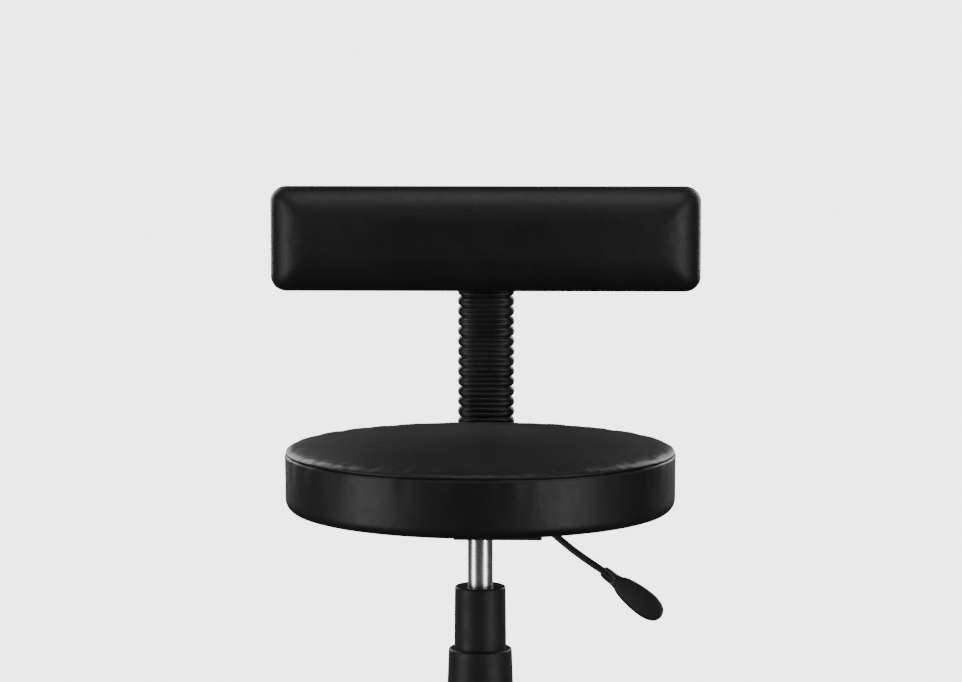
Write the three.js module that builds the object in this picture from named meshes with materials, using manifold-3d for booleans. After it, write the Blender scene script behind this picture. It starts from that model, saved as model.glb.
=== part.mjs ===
// Adjustable swivel stool: a castered five-star base, a gas lift inside a telescoping cover, a round
// padded seat with a release lever, and a small padded backrest on a bent bar inside rubber bellows.
// Millimetres, +Z up, floor at z = 0. The front of the stool faces -Y and the backrest is at +Y.

import * as THREE from 'three';
import { mergeVertices } from 'three/addons/utils/BufferGeometryUtils.js';
import Module from 'manifold-3d';

const wasm = await Module();
wasm.setup();

// ---- Driving dimensions ----

const COLUMN_Y = -27.1; // the column stands in front of the middle of the whole outline
const GAP = 0.3; // clearance between pieces that touch

const HUB_RADIUS = 40;
const HUB_BOTTOM = 50;
const HUB_TOP = 118;
const ARM_COUNT = 5;
const STEM_CIRCLE = 280; // caster stems from the column axis
const ARM_UNDERSIDE = 64; // at the tip
const ARM_TIP_HEIGHT = 32;

const WHEEL_RADIUS = 25;
const WHEEL_WIDTH = 17;
const WHEEL_SIDES = 20;
const TRAIL = 18; // axle behind the stem
const FORK_HALF = 4.5; // half the thickness of the web between the wheels
const AXLE_RADIUS = 3;
const STEM_RADIUS = 5.5;
const TRAIL_ANGLES = [200, -110, 170, 10, -70]; // where each caster points, degrees from +X

const TUBE_OUTER_RADIUS = 25;
const TUBE_BOTTOM = 45;
const COLUMN_TOP = 290; // top of the column cover
const INNER_TUBE_RADIUS = 14;
const INNER_TUBE_BOTTOM = 110;
const INNER_TUBE_TOP = 362;
const PISTON_ROD_RADIUS = 5;

const SEAT_RADIUS = 221;
const SEAT_BOTTOM = 378;
const SEAT_SEAM = 443;
const SEAT_TOP = 458.5;
const BOARD_RADIUS = 200;
const BOARD_THICKNESS = 12;
const PLATE_THICKNESS = 3;
const PLATE_TOP = SEAT_BOTTOM - GAP;
const PLATE_BOTTOM = PLATE_TOP - PLATE_THICKNESS;

const HOUSING_BOTTOM = 352;
const HOUSING_WALL = 2.5;
const BOLT_X = 80;
const BOLT_Y = 70;

const LEVER_SWEEP = -19; // degrees from +X towards the front
const LEVER_RADIUS = 3.6;
const LEVER_PIVOT = [22, 368.5]; // distance from the column axis and height

const BAR_WIDTH = 38;
const BAR_THICKNESS = 8;
const BAR_FRONT = 66;
const BAR_LEVEL = 358; // middle of the level stretch
const BAR_BEND = 34; // bend radius of the middle line
const BAR_Y = 253; // middle of the upright stretch
const BAR_TOP = 712;

const RIB_COUNT = 19;
const RIB_PITCH = 12.2;
const RIB_DEPTH = 4;
const BELLOWS_WIDTH = 68.7;
const BELLOWS_DEPTH = 38;
const BELLOWS_BOTTOM = 391;

const PAD_WIDTH = 515;
const PAD_HEIGHT = 126;
const PAD_MIDDLE_Z = 669.7;
const PAD_FRONT = 182;
const PAD_BACK = 224;
const SHELL_BACK = 233;
const SLEEVE_BOTTOM = 626;
const SLEEVE_TOP = 690;
const HEIGHT_KNOB_Z = 657;

const { degToRad } = THREE.MathUtils;

// ---- Solids ----

/** Shares the vertices of a closed shape, drops empty triangles and turns its faces outwards. */
function closedSolid(geometry) {
  const bare = new THREE.BufferGeometry();
  bare.setAttribute('position', geometry.getAttribute('position').clone());
  bare.setIndex(geometry.index ? geometry.index.clone() : null);
  const merged = mergeVertices(bare, 1e-3);
  const position = merged.getAttribute('position');
  const corners = Array.from(merged.index.array);
  const kept = [];
  let volume = 0;
  for (let i = 0; i < corners.length; i += 3) {
    const [a, b, c] = corners.slice(i, i + 3);
    if (a === b || b === c || c === a) continue;
    kept.push(a, b, c);
    const [pa, pb, pc] = [a, b, c].map((corner) => new THREE.Vector3().fromBufferAttribute(position, corner));
    volume += pa.dot(pb.cross(pc));
  }
  merged.setIndex(volume < 0 ? kept.reverse() : kept);
  return merged;
}

function toManifold(geometry) {
  const vertProperties = new Float32Array(geometry.getAttribute('position').array);
  const triVerts = new Uint32Array(geometry.index.array);
  return new wasm.Manifold(new wasm.Mesh({ numProp: 3, vertProperties, triVerts }));
}

function fromManifold(solid) {
  const { vertProperties, triVerts } = solid.getMesh();
  const geometry = new THREE.BufferGeometry();
  geometry.setAttribute('position', new THREE.BufferAttribute(vertProperties, 3));
  geometry.setIndex(new THREE.BufferAttribute(triVerts, 1));
  return geometry;
}

/** Joins the first list of solids and cuts the second list away. */
function joinAndCut(joined, cut = []) {
  let solid = toManifold(joined[0]);
  for (const piece of joined.slice(1)) solid = solid.add(toManifold(piece));
  for (const piece of cut) solid = solid.subtract(toManifold(piece));
  return fromManifold(solid);
}

/** Turns a profile of [radius, z] points about the Z axis. */
function revolve(profile, segments = 32, start = 0) {
  const points = profile.map(([radius, z]) => new THREE.Vector2(radius, z));
  const geometry = new THREE.LatheGeometry(points, segments, start);
  return closedSolid(geometry.rotateX(Math.PI / 2));
}

/** A ring or sleeve of rectangular section about the Z axis. */
function ring(inner, outer, bottom, top, segments = 32) {
  return revolve([[inner, bottom], [outer, bottom], [outer, top], [inner, top], [inner, bottom]], segments);
}

function block(low, high) {
  const size = high.map((value, axis) => value - low[axis]);
  const middle = high.map((value, axis) => (value + low[axis]) / 2);
  return closedSolid(new THREE.BoxGeometry(...size).translate(...middle));
}

/** A round bar between two points. */
function rod(start, end, radius, sides = 12) {
  const from = new THREE.Vector3(...start);
  const along = new THREE.Vector3(...end).sub(from);
  const geometry = new THREE.CylinderGeometry(radius, radius, along.length(), sides);
  geometry.translate(0, along.length() / 2, 0);
  const upright = new THREE.Vector3(0, 1, 0);
  geometry.applyQuaternion(new THREE.Quaternion().setFromUnitVectors(upright, along.normalize()));
  return closedSolid(geometry.translate(from.x, from.y, from.z));
}

/** Skins rings of points that all have the same count, and caps both ends, or closes into a tube wall. */
function loft(rings, closed = false) {
  const sides = rings[0].length;
  const indices = [];
  const spans = closed ? rings.length : rings.length - 1;
  for (let span = 0; span < spans; span += 1) {
    const near = span * sides;
    const far = ((span + 1) % rings.length) * sides;
    for (let side = 0; side < sides; side += 1) {
      const next = (side + 1) % sides;
      indices.push(near + side, near + next, far + next, near + side, far + next, far + side);
    }
  }
  const last = (rings.length - 1) * sides;
  for (let side = 1; side < sides - 1 && !closed; side += 1) {
    indices.push(0, side + 1, side, last, last + side, last + side + 1);
  }
  const geometry = new THREE.BufferGeometry();
  geometry.setFromPoints(rings.flat());
  geometry.setIndex(indices);
  return closedSolid(geometry);
}

/** The points of a rectangle with round corners, centred on 0, anticlockwise. */
function roundedOutline(width, height, radius, perCorner = 3) {
  const points = [];
  [[1, 1], [-1, 1], [-1, -1], [1, -1]].forEach(([sideX, sideY], corner) => {
    for (let step = 0; step <= perCorner; step += 1) {
      const angle = (Math.PI / 2) * (corner + step / perCorner);
      const x = sideX * (width / 2 - radius) + radius * Math.cos(angle);
      const y = sideY * (height / 2 - radius) + radius * Math.sin(angle);
      points.push(new THREE.Vector2(x, y));
    }
  });
  return points;
}

/** Points of an arc in a profile: centre, radius and two angles in degrees. */
function arc(centre, radius, from, to, steps) {
  return Array.from({ length: steps + 1 }, (_, step) => {
    const angle = degToRad(from + ((to - from) * step) / steps);
    return [centre[0] + radius * Math.cos(angle), centre[1] + radius * Math.sin(angle)];
  });
}

/** Extrudes an outline drawn in Y and Z between two values of X. */
function slabAcrossX(shape, low, high, curveSegments = 8) {
  const geometry = new THREE.ExtrudeGeometry(shape, { depth: high - low, bevelEnabled: false, curveSegments });
  const [x, y, z] = [[1, 0, 0], [0, 1, 0], [0, 0, 1]].map((axis) => new THREE.Vector3(...axis));
  geometry.applyMatrix4(new THREE.Matrix4().makeBasis(y, z, x));
  return closedSolid(geometry.translate(low, 0, 0));
}

const FINISHES = {
  leather: { color: 0x1d1d1e, roughness: 0.48, metalness: 0 },
  blackPlastic: { color: 0x18181a, roughness: 0.5, metalness: 0 },
  rubber: { color: 0x141415, roughness: 0.55, metalness: 0 },
  blackSteel: { color: 0x1a1a1b, roughness: 0.45, metalness: 0.6 },
  polishedSteel: { color: 0xc9c9cc, roughness: 0.18, metalness: 1 },
  plywood: { color: 0xb98d5c, roughness: 0.8, metalness: 0 },
};

function piece(name, geometry, finish) {
  const material = new THREE.MeshStandardMaterial(FINISHES[finish]);
  const mesh = new THREE.Mesh(geometry, material);
  mesh.name = name;
  return mesh;
}

function group(...members) {
  return new THREE.Group().add(...members);
}

// ---- Base ----

/** One arm along +X: deep and wide at the hub, slimmer and lower at the tip, with a round end. */
function armSolid() {
  const stations = [
    { x: 30, width: 50, low: 53, high: 114 },
    { x: 90, width: 42, low: 59, high: 111 },
    { x: 180, width: 37, low: 63, high: 103.5 },
    { x: 262, width: 34, low: ARM_UNDERSIDE, high: ARM_UNDERSIDE + ARM_TIP_HEIGHT },
    { x: STEM_CIRCLE, width: 34, low: ARM_UNDERSIDE, high: ARM_UNDERSIDE + ARM_TIP_HEIGHT },
    { x: 291, width: 26, low: ARM_UNDERSIDE, high: ARM_UNDERSIDE + ARM_TIP_HEIGHT - 2 },
    { x: 297, width: 12, low: ARM_UNDERSIDE + 1, high: ARM_UNDERSIDE + ARM_TIP_HEIGHT - 5 },
  ];
  const cornerRadius = 5.5;
  const rings = stations.map(({ x, width, low, high }) => {
    const outline = roundedOutline(width, high - low, cornerRadius, 2);
    return outline.map((point) => new THREE.Vector3(x, point.x, (low + high) / 2 + point.y));
  });
  return loft(rings);
}

function baseStar() {
  const hub = revolve([
    [0, HUB_BOTTOM], [HUB_RADIUS - 6, HUB_BOTTOM], [HUB_RADIUS - 2, HUB_BOTTOM + 6],
    [HUB_RADIUS, HUB_TOP - 14], [HUB_RADIUS - 3, HUB_TOP - 3], [HUB_RADIUS - 6, HUB_TOP], [0, HUB_TOP],
  ]);
  const socketDepth = 28.5;
  const arms = [];
  const holes = [];
  for (let arm = 0; arm < ARM_COUNT; arm += 1) {
    const turn = degToRad(90 + (360 / ARM_COUNT) * arm);
    const socketTop = ARM_UNDERSIDE + socketDepth;
    const socket = rod([STEM_CIRCLE, 0, ARM_UNDERSIDE - 2], [STEM_CIRCLE, 0, socketTop], STEM_RADIUS + 0.4);
    arms.push(armSolid().rotateZ(turn));
    holes.push(socket.rotateZ(turn));
  }
  const bore = rod([0, 0, HUB_BOTTOM - 2], [0, 0, HUB_TOP + 2], TUBE_OUTER_RADIUS + 0.4, 32);
  return joinAndCut([hub, ...arms], [bore, ...holes]);
}

/** A round wheel along its own axis with a blind bore on the inner side; flat facet underneath. */
function wheelSolid() {
  const rim = WHEEL_RADIUS / Math.cos(Math.PI / WHEEL_SIDES); // flats lie on the true radius
  const edge = 2.6;
  const bore = AXLE_RADIUS + 0.4;
  const profile = [
    [0, 13], [bore, 13], [bore, 0], [rim - edge, 0], [rim, edge], [rim, WHEEL_WIDTH - edge],
    [rim - edge, WHEEL_WIDTH], [0, WHEEL_WIDTH],
  ];
  return revolve(profile, WHEEL_SIDES, Math.PI / WHEEL_SIDES);
}

/** Web between the wheels, a mudguard over both, and the boss that takes the stem. */
function hoodSolid() {
  const guardInner = WHEEL_RADIUS + 1.2;
  const guardOuter = WHEEL_RADIUS + 4;
  const guardHalf = 23;
  const web = new THREE.Shape();
  web.absarc(TRAIL, WHEEL_RADIUS, guardInner + 1, -0.15, Math.PI + 0.15);
  web.lineTo(TRAIL - 10, 12);
  web.lineTo(TRAIL + 10, 12);
  const guard = new THREE.Shape();
  guard.absarc(TRAIL, WHEEL_RADIUS, guardOuter, degToRad(20), degToRad(172), false);
  guard.absarc(TRAIL, WHEEL_RADIUS, guardInner, degToRad(172), degToRad(20), true);
  const webSolid = slabAcrossX(web, -FORK_HALF, FORK_HALF, 5);
  const guardSolid = slabAcrossX(guard, -guardHalf, guardHalf, 5);
  const neck = block([-FORK_HALF, -9.5, 30], [FORK_HALF, 9.5, 60]);
  const boss = rod([0, 0, 50.2], [0, 0, 60], 9.5);
  const stemHole = rod([0, 0, 38], [0, 0, 62], AXLE_RADIUS + 0.4);
  const axleHole = rod([-9, TRAIL, WHEEL_RADIUS], [9, TRAIL, WHEEL_RADIUS], AXLE_RADIUS + 0.5);
  return joinAndCut([webSolid, guardSolid, neck, boss], [stemHole, axleHole]);
}

/** A caster with its stem on the local Z axis, trailing towards +Y. */
function caster(name) {
  const stem = revolve([
    [0, 38.4], [3, 38.4], [3, 60.3], [8, 60.3], [8, 62.5], [STEM_RADIUS, 62.5],
    [STEM_RADIUS, 90], [STEM_RADIUS - 0.8, 91.5], [0, 91.5],
  ], 12);
  const axleHalf = 18;
  const axle = rod([-axleHalf, TRAIL, WHEEL_RADIUS], [axleHalf, TRAIL, WHEEL_RADIUS], AXLE_RADIUS);
  const sideGap = 0.8;
  const right = wheelSolid().rotateY(Math.PI / 2).translate(FORK_HALF + sideGap, TRAIL, WHEEL_RADIUS);
  const left = wheelSolid().rotateY(-Math.PI / 2).translate(-FORK_HALF - sideGap, TRAIL, WHEEL_RADIUS);
  return group(
    piece(`${name}_stem`, stem, 'blackSteel'),
    piece(`${name}_hood`, hoodSolid(), 'blackPlastic'),
    piece(`${name}_axle`, axle, 'blackSteel'),
    piece(`${name}_wheel_right`, right, 'blackPlastic'),
    piece(`${name}_wheel_left`, left, 'blackPlastic'),
  );
}

function casters() {
  return TRAIL_ANGLES.map((trailAngle, index) => {
    const arm = degToRad(90 + (360 / ARM_COUNT) * index);
    const placed = caster(`caster_${index + 1}`);
    placed.position.set(STEM_CIRCLE * Math.cos(arm), STEM_CIRCLE * Math.sin(arm), 0);
    placed.rotation.z = degToRad(trailAngle - 90);
    return placed;
  });
}

// ---- Column ----

/** A tapered cover shell with a round shoulder, open below, its top hole a running fit round what rises from it. */
function coverShell(bottomRadius, topRadius, bottom, top, hole) {
  const wall = 2.2;
  const shoulder = 3.5;
  const outerArc = arc([topRadius - shoulder, top - shoulder], shoulder, 0, 90, 2);
  return revolve([
    [bottomRadius, bottom], ...outerArc, [hole, top], [hole, top - wall], [topRadius - shoulder, top - wall],
    [topRadius - wall, top - shoulder], [bottomRadius - wall, bottom], [bottomRadius, bottom],
  ]);
}

function columnCovers() {
  return [
    piece('cover_bottom', coverShell(46, 43.6, HUB_TOP + GAP, 152, 39.2), 'blackPlastic'),
    piece('cover_middle', coverShell(38.6, 35.8, 137, 219, 30), 'blackPlastic'),
    piece('cover_top', coverShell(29.5, 28.8, 206, COLUMN_TOP, 14.7), 'blackPlastic'),
  ];
}

/** Outer tube, guide bush and bearing stay with the base; the rod turns and the inner tube rises with the seat. */
function gasLift() {
  const tubeInner = 22.5;
  const tubeTop = 287.4;
  const floor = TUBE_BOTTOM + 3;
  const rodHole = PISTON_ROD_RADIUS + 0.4;
  const outerTube = revolve([
    [rodHole, TUBE_BOTTOM], [TUBE_OUTER_RADIUS, TUBE_BOTTOM], [TUBE_OUTER_RADIUS, tubeTop],
    [tubeInner, tubeTop], [tubeInner, floor], [rodHole, floor], [rodHole, TUBE_BOTTOM],
  ]);
  const bearingTop = floor + GAP + 4.7;
  const clipGroove = 4;
  const pistonRod = revolve([
    [0, 38], [PISTON_ROD_RADIUS, 38], [PISTON_ROD_RADIUS, 41], [clipGroove, 41], [clipGroove, 42.8],
    [PISTON_ROD_RADIUS, 42.8], [PISTON_ROD_RADIUS, bearingTop + GAP], [9, bearingTop + GAP],
    [9, bearingTop + 4], [PISTON_ROD_RADIUS, bearingTop + 4], [PISTON_ROD_RADIUS, 217],
    [11.5, 217], [11.5, 231], [0, 231],
  ], 16);
  const clipMouth = block([-1.5, -12, 40], [1.5, 0, 44]);
  const clip = joinAndCut([ring(clipGroove + 0.2, 8.5, 41.3, 42.5, 16)], [clipMouth]);
  const wallInner = INNER_TUBE_RADIUS - 2;
  const topPlate = INNER_TUBE_TOP - 4;
  const buttonRadius = 4;
  const buttonHole = buttonRadius + 0.4;
  const innerTube = revolve([
    [wallInner, INNER_TUBE_BOTTOM], [INNER_TUBE_RADIUS, INNER_TUBE_BOTTOM], [INNER_TUBE_RADIUS, INNER_TUBE_TOP],
    [buttonHole, INNER_TUBE_TOP], [buttonHole, topPlate], [wallInner, topPlate], [wallInner, INNER_TUBE_BOTTOM],
  ]);
  const button = revolve([
    [0, 352], [6, 352], [6, topPlate - 3.3], [buttonRadius, topPlate - 3.3],
    [buttonRadius, 366], [0, 366],
  ], 12);
  const gland = ring(PISTON_ROD_RADIUS + 0.4, wallInner - 0.4, INNER_TUBE_BOTTOM + GAP, 125, 24);
  const bush = ring(INNER_TUBE_RADIUS + 0.4, tubeInner - 0.4, 206, tubeTop - 0.4);
  return [
    piece('outer_tube', outerTube, 'blackSteel'),
    piece('guide_bush', bush, 'blackPlastic'),
    piece('thrust_bearing', ring(rodHole, 11, floor + GAP, bearingTop, 32), 'polishedSteel'),
    piece('retaining_clip', clip, 'polishedSteel'),
    piece('piston_rod', pistonRod, 'polishedSteel'),
    piece('inner_tube', innerTube, 'polishedSteel'),
    piece('rod_gland', gland, 'blackPlastic'),
    piece('release_button', button, 'blackPlastic'),
  ];
}

// ---- Mechanism under the seat ----

/** Places a solid drawn along +X under the lever's sweep. */
function swept(geometry) {
  return geometry.rotateZ(degToRad(LEVER_SWEEP));
}

function housingSolid() {
  const [left, right, halfDepth] = [-28, 70, 60];
  const top = PLATE_BOTTOM - GAP;
  const inside = HOUSING_BOTTOM + HOUSING_WALL;
  const pan = block([left, -halfDepth, HOUSING_BOTTOM], [right, halfDepth, top]);
  const hollow = block(
    [left + HOUSING_WALL, HOUSING_WALL - halfDepth, inside],
    [right - HOUSING_WALL, halfDepth - HOUSING_WALL, top + 1],
  );
  const socket = rod([0, 0, HOUSING_BOTTOM], [0, 0, 358], 20, 24);
  const [pivotX, pivotZ] = LEVER_PIVOT;
  const ears = [-1, 1].map((side) => {
    const [near, far] = [8.5 * side, 11.5 * side].sort((a, b) => a - b);
    return swept(block([pivotX - 6, near, inside - 1], [pivotX + 6, far, top - 0.5]));
  });
  const shell = fromManifold(toManifold(pan).subtract(toManifold(hollow)));
  const tubeHole = rod([0, 0, HOUSING_BOTTOM - 1], [0, 0, 359], INNER_TUBE_RADIUS + 0.5, 32);
  const pinHole = swept(rod([pivotX, -14, pivotZ], [pivotX, 14, pivotZ], 2.4));
  const leverSlot = block([right - 8, -36, inside + 1], [right + 2, -18, top + 1]);
  return joinAndCut([shell, socket, ...ears], [tubeHole, pinHole, leverSlot]);
}

/** Pressed plate with four bolt holes and the round stop boss on its left. */
function plateSolid() {
  const outline = roundedOutline(190, 165, 12, 2).map((point) => new THREE.Vector3(point.x, point.y, 0));
  const level = (z) => outline.map((point) => point.clone().setZ(z));
  const plate = loft([level(PLATE_BOTTOM), level(PLATE_TOP)]);
  const boss = revolve([[0, 345], [5.5, 345], [7.5, 347], [7.5, PLATE_TOP - 1], [0, PLATE_TOP - 1]], 16);
  const holes = boltPlaces().map(([x, y]) => rod([x, y, PLATE_BOTTOM - 1], [x, y, PLATE_TOP + 1], 4.4));
  return joinAndCut([plate, boss.translate(-58, 0, 0)], holes);
}

function boltPlaces() {
  return [[-BOLT_X, -BOLT_Y], [BOLT_X, -BOLT_Y], [BOLT_X, BOLT_Y], [-BOLT_X, BOLT_Y]];
}

function seatBolt(x, y) {
  const headTop = PLATE_BOTTOM - GAP;
  const head = rod([x, y, headTop - 5], [x, y, headTop], 6.5, 6);
  const shank = rod([x, y, headTop - 1], [x, y, SEAT_BOTTOM + 9], 4, 12);
  return joinAndCut([head, shank]);
}

/** Steel sleeve that holds the level stretch of the back bar, with two cheeks up to the plate. */
function barBracket() {
  const inner = [BAR_WIDTH / 2 + GAP, BAR_THICKNESS / 2 + GAP];
  const wall = 5;
  const [near, far] = [BAR_FRONT - 2, 150];
  const halfWidth = inner[0] + wall;
  const sleeve = block([-halfWidth, near, BAR_LEVEL - inner[1] - 3], [halfWidth, far, BAR_LEVEL + inner[1] + 3]);
  const cheeks = [-1, 1].map((side) => {
    const [low, high] = [side * halfWidth, side * (halfWidth - wall)].sort((a, b) => a - b);
    return block([low, near, BAR_LEVEL], [high, 82, PLATE_BOTTOM - GAP]);
  });
  const passage = block([-inner[0], near - 1, BAR_LEVEL - inner[1]], [inner[0], far + 1, BAR_LEVEL + inner[1]]);
  const studHole = rod([0, 125, 345], [0, 125, BAR_LEVEL], 4.2, 16);
  return joinAndCut([sleeve, ...cheeks], [passage, studHole]);
}

/** Clamping knob on a stud along +Z, with scallops round its rim; z = 0 is the stud's tip. */
function knobSolid(studLength) {
  const [radius, height] = [18, 15];
  const head = revolve([
    [0, -studLength - height], [radius - 4, -studLength - height], [radius, 3 - studLength - height],
    [radius, -studLength - 2], [radius - 5, -studLength], [0, -studLength],
  ], 24);
  const stud = rod([0, 0, -studLength - 1], [0, 0, 0], 3.8, 8);
  const scallops = Array.from({ length: 6 }, (_, index) => {
    const angle = (index * Math.PI) / 3;
    const [x, y] = [Math.cos(angle), Math.sin(angle)].map((part) => part * (radius + 4));
    return rod([x, y, -studLength - height - 1], [x, y, 1 - studLength], 6.5, 8);
  });
  return joinAndCut([head, stud], scallops);
}

function mechanism() {
  const [pivotX, pivotZ] = LEVER_PIVOT;
  const bolts = boltPlaces().map(([x, y], index) => {
    return piece(`seat_bolt_${index + 1}`, seatBolt(x, y), 'blackSteel');
  });
  const depthKnob = piece('depth_knob', knobSolid(10), 'blackPlastic');
  depthKnob.position.set(0, 125, BAR_LEVEL - BAR_THICKNESS / 2 - GAP);
  return [
    piece('mechanism_housing', housingSolid(), 'blackSteel'),
    piece('mounting_plate', plateSolid(), 'blackSteel'),
    piece('lever_pivot_pin', swept(rod([pivotX, -12.5, pivotZ], [pivotX, 12.5, pivotZ], 2, 12)), 'polishedSteel'),
    piece('bar_bracket', barBracket(), 'blackSteel'),
    depthKnob,
    ...bolts,
  ];
}

// ---- Release lever, drawn in the XZ plane and then swept towards the front ----

const PADDLE_START = [146, 316];
const PADDLE_END = [214, 269];

/** A point at a share of the paddle's length, moved across it in the same plane. */
function paddlePoint(share, across = 0, sideways = 0) {
  const along = new THREE.Vector2(PADDLE_END[0] - PADDLE_START[0], PADDLE_END[1] - PADDLE_START[1]);
  const normal = new THREE.Vector2(-along.y, along.x).normalize().multiplyScalar(across);
  return new THREE.Vector3(
    PADDLE_START[0] + along.x * share + normal.x,
    sideways,
    PADDLE_START[1] + along.y * share + normal.y,
  );
}

function leverRod() {
  const [pivotX, pivotZ] = LEVER_PIVOT;
  const route = [
    [-5, 370.2], [8, 369.6], [pivotX, pivotZ], [58, 365], [70, 362.6], [84, 356.4], [98, 346.5], [112, 336.5], [128, 326.5],
  ].map(([x, z]) => new THREE.Vector3(x, 0, z));
  route.push(paddlePoint(0.02), paddlePoint(0.24));
  const section = new THREE.Shape(roundedOutline(LEVER_RADIUS * 2, LEVER_RADIUS * 2, LEVER_RADIUS, 1));
  const extrudePath = new THREE.CatmullRomCurve3(route, false, 'centripetal');
  const bar = closedSolid(new THREE.ExtrudeGeometry(section, { steps: 24, extrudePath }));
  const eye = rod([pivotX, -7.5, pivotZ], [pivotX, 7.5, pivotZ], 4.8);
  const pinHole = rod([pivotX, -9, pivotZ], [pivotX, 9, pivotZ], 2.4);
  return joinAndCut([bar, eye], [pinHole]);
}

/** Flat teardrop blade that grows out of a round collar. */
function leverPaddle() {
  const stations = [
    [0, 6.2, 6.2], [0.12, 6.8, 6.4], [0.3, 11, 6], [0.5, 15, 5.4], [0.68, 16.4, 5],
    [0.84, 14.6, 4.4], [0.94, 9.6, 3.6], [1, 3, 2],
  ];
  const sides = 12;
  const rings = stations.map(([share, halfWidth, halfThickness]) => {
    return Array.from({ length: sides }, (_, side) => {
      const angle = (2 * Math.PI * side) / sides;
      return paddlePoint(share, halfWidth * Math.cos(angle), halfThickness * Math.sin(angle));
    });
  });
  const bore = rod(paddlePoint(-0.05).toArray(), paddlePoint(0.25).toArray(), LEVER_RADIUS + 0.5);
  return joinAndCut([loft(rings)], [bore]);
}

function lever() {
  const placed = group(
    piece('lever_rod', leverRod(), 'blackSteel'),
    piece('lever_paddle', leverPaddle(), 'blackPlastic'),
  );
  placed.rotation.z = degToRad(LEVER_SWEEP);
  return placed;
}

// ---- Seat ----

function seatBoard() {
  const bottom = SEAT_BOTTOM;
  const board = ring(20, BOARD_RADIUS, bottom, bottom + BOARD_THICKNESS, 48);
  const holes = boltPlaces().map(([x, y]) => rod([x, y, bottom - 1], [x, y, bottom + 20], 4.4));
  return joinAndCut([board], holes);
}

/** Upholstered drum: rounded lower edge, slightly bulged band, rolled edge at the seam and a low crown. */
function seatCushion() {
  const boardTop = SEAT_BOTTOM + BOARD_THICKNESS + GAP;
  const boardEdge = BOARD_RADIUS + 0.6;
  const lowerRadius = 14;
  const crownEdge = 204;
  const lowerEdge = arc([SEAT_RADIUS - 1 - lowerRadius, SEAT_BOTTOM + lowerRadius], lowerRadius, -90, 0, 3);
  const rolledEdge = arc([SEAT_RADIUS - 11, SEAT_SEAM - 2], 10, 0, 72, 2);
  const crown = [crownEdge, 150, 90, 25].map((radius) => {
    const share = (radius - 25) / (crownEdge - 25);
    return [radius, SEAT_TOP - 7.5 * share * share];
  });
  return revolve([
    [0, boardTop], [boardEdge, boardTop], [boardEdge, SEAT_BOTTOM], ...lowerEdge,
    [SEAT_RADIUS, 415], ...rolledEdge, ...crown, [0, SEAT_TOP],
  ], 48);
}

// ---- Backrest ----

/** Flat steel bar: level under the seat, one bend, then upright behind it. */
function backBar() {
  const half = BAR_THICKNESS / 2;
  const bendY = BAR_Y - BAR_BEND;
  const bendZ = BAR_LEVEL + BAR_BEND;
  const outline = new THREE.Shape();
  outline.moveTo(BAR_FRONT, BAR_LEVEL - half);
  outline.absarc(bendY, bendZ, BAR_BEND + half, -Math.PI / 2, 0, false);
  outline.lineTo(BAR_Y + half, BAR_TOP);
  outline.lineTo(BAR_Y - half, BAR_TOP);
  outline.absarc(bendY, bendZ, BAR_BEND - half, 0, -Math.PI / 2, true);
  outline.lineTo(BAR_FRONT, BAR_LEVEL + half);
  return slabAcrossX(outline, -BAR_WIDTH / 2, BAR_WIDTH / 2, 6);
}

/** Accordion tube with a straight passage for the bar. */
function bellowsSolid() {
  const level = (width, depth, radius, z) => {
    return roundedOutline(width, depth, radius, 2).map((point) => new THREE.Vector3(point.x, BAR_Y + point.y, z));
  };
  const rings = [];
  for (let half = 0; half <= RIB_COUNT * 2; half += 1) {
    const inset = half % 2 === 0 ? RIB_DEPTH : 0;
    const z = BELLOWS_BOTTOM + (half * RIB_PITCH) / 2;
    rings.push(level(BELLOWS_WIDTH - 2 * inset, BELLOWS_DEPTH - 2 * inset, 13 - inset, z));
  }
  const wall = 2;
  const [innerWidth, innerDepth] = [BELLOWS_WIDTH, BELLOWS_DEPTH].map((size) => size - 2 * (RIB_DEPTH + wall));
  const top = BELLOWS_BOTTOM + RIB_COUNT * RIB_PITCH;
  rings.push(level(innerWidth, innerDepth, 7, top), level(innerWidth, innerDepth, 7, BELLOWS_BOTTOM));
  return loft(rings, true);
}

/** Sleeve on the bar with a flange that the shell is screwed to and a hole for the knob's stud. */
function backrestBracket() {
  const halfWidth = BAR_WIDTH / 2 + GAP + 5.5;
  const halfPassage = BAR_THICKNESS / 2 + GAP;
  const flangeFront = SHELL_BACK + GAP;
  const sleeve = block([-halfWidth, flangeFront, SLEEVE_BOTTOM], [halfWidth, BAR_Y + 9, SLEEVE_TOP]);
  const flange = block([-48, flangeFront, SLEEVE_BOTTOM + 4], [48, flangeFront + 3, SLEEVE_TOP + 14]);
  const passage = block(
    [-BAR_WIDTH / 2 - GAP, BAR_Y - halfPassage, SLEEVE_BOTTOM - 1],
    [BAR_WIDTH / 2 + GAP, BAR_Y + halfPassage, SLEEVE_TOP + 1],
  );
  const studHole = rod([0, BAR_Y, HEIGHT_KNOB_Z], [0, BAR_Y + 12, HEIGHT_KNOB_Z], 4.2);
  const screwHoles = [-1, 1].map((side) => {
    return rod([36 * side, flangeFront - 1, PAD_MIDDLE_Z], [36 * side, flangeFront + 4, PAD_MIDDLE_Z], 3.5, 12);
  });
  return joinAndCut([sleeve, flange], [passage, studHole, ...screwHoles]);
}

function backrestScrew(side) {
  const flangeBack = SHELL_BACK + 2 * GAP + 3;
  const [x, z] = [36 * side, PAD_MIDDLE_Z];
  const head = rod([x, flangeBack, z], [x, flangeBack + 3.4, z], 5.5, 16);
  const shank = rod([x, SHELL_BACK - 5, z], [x, flangeBack + 1, z], 3, 12);
  return joinAndCut([head, shank]);
}

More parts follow.
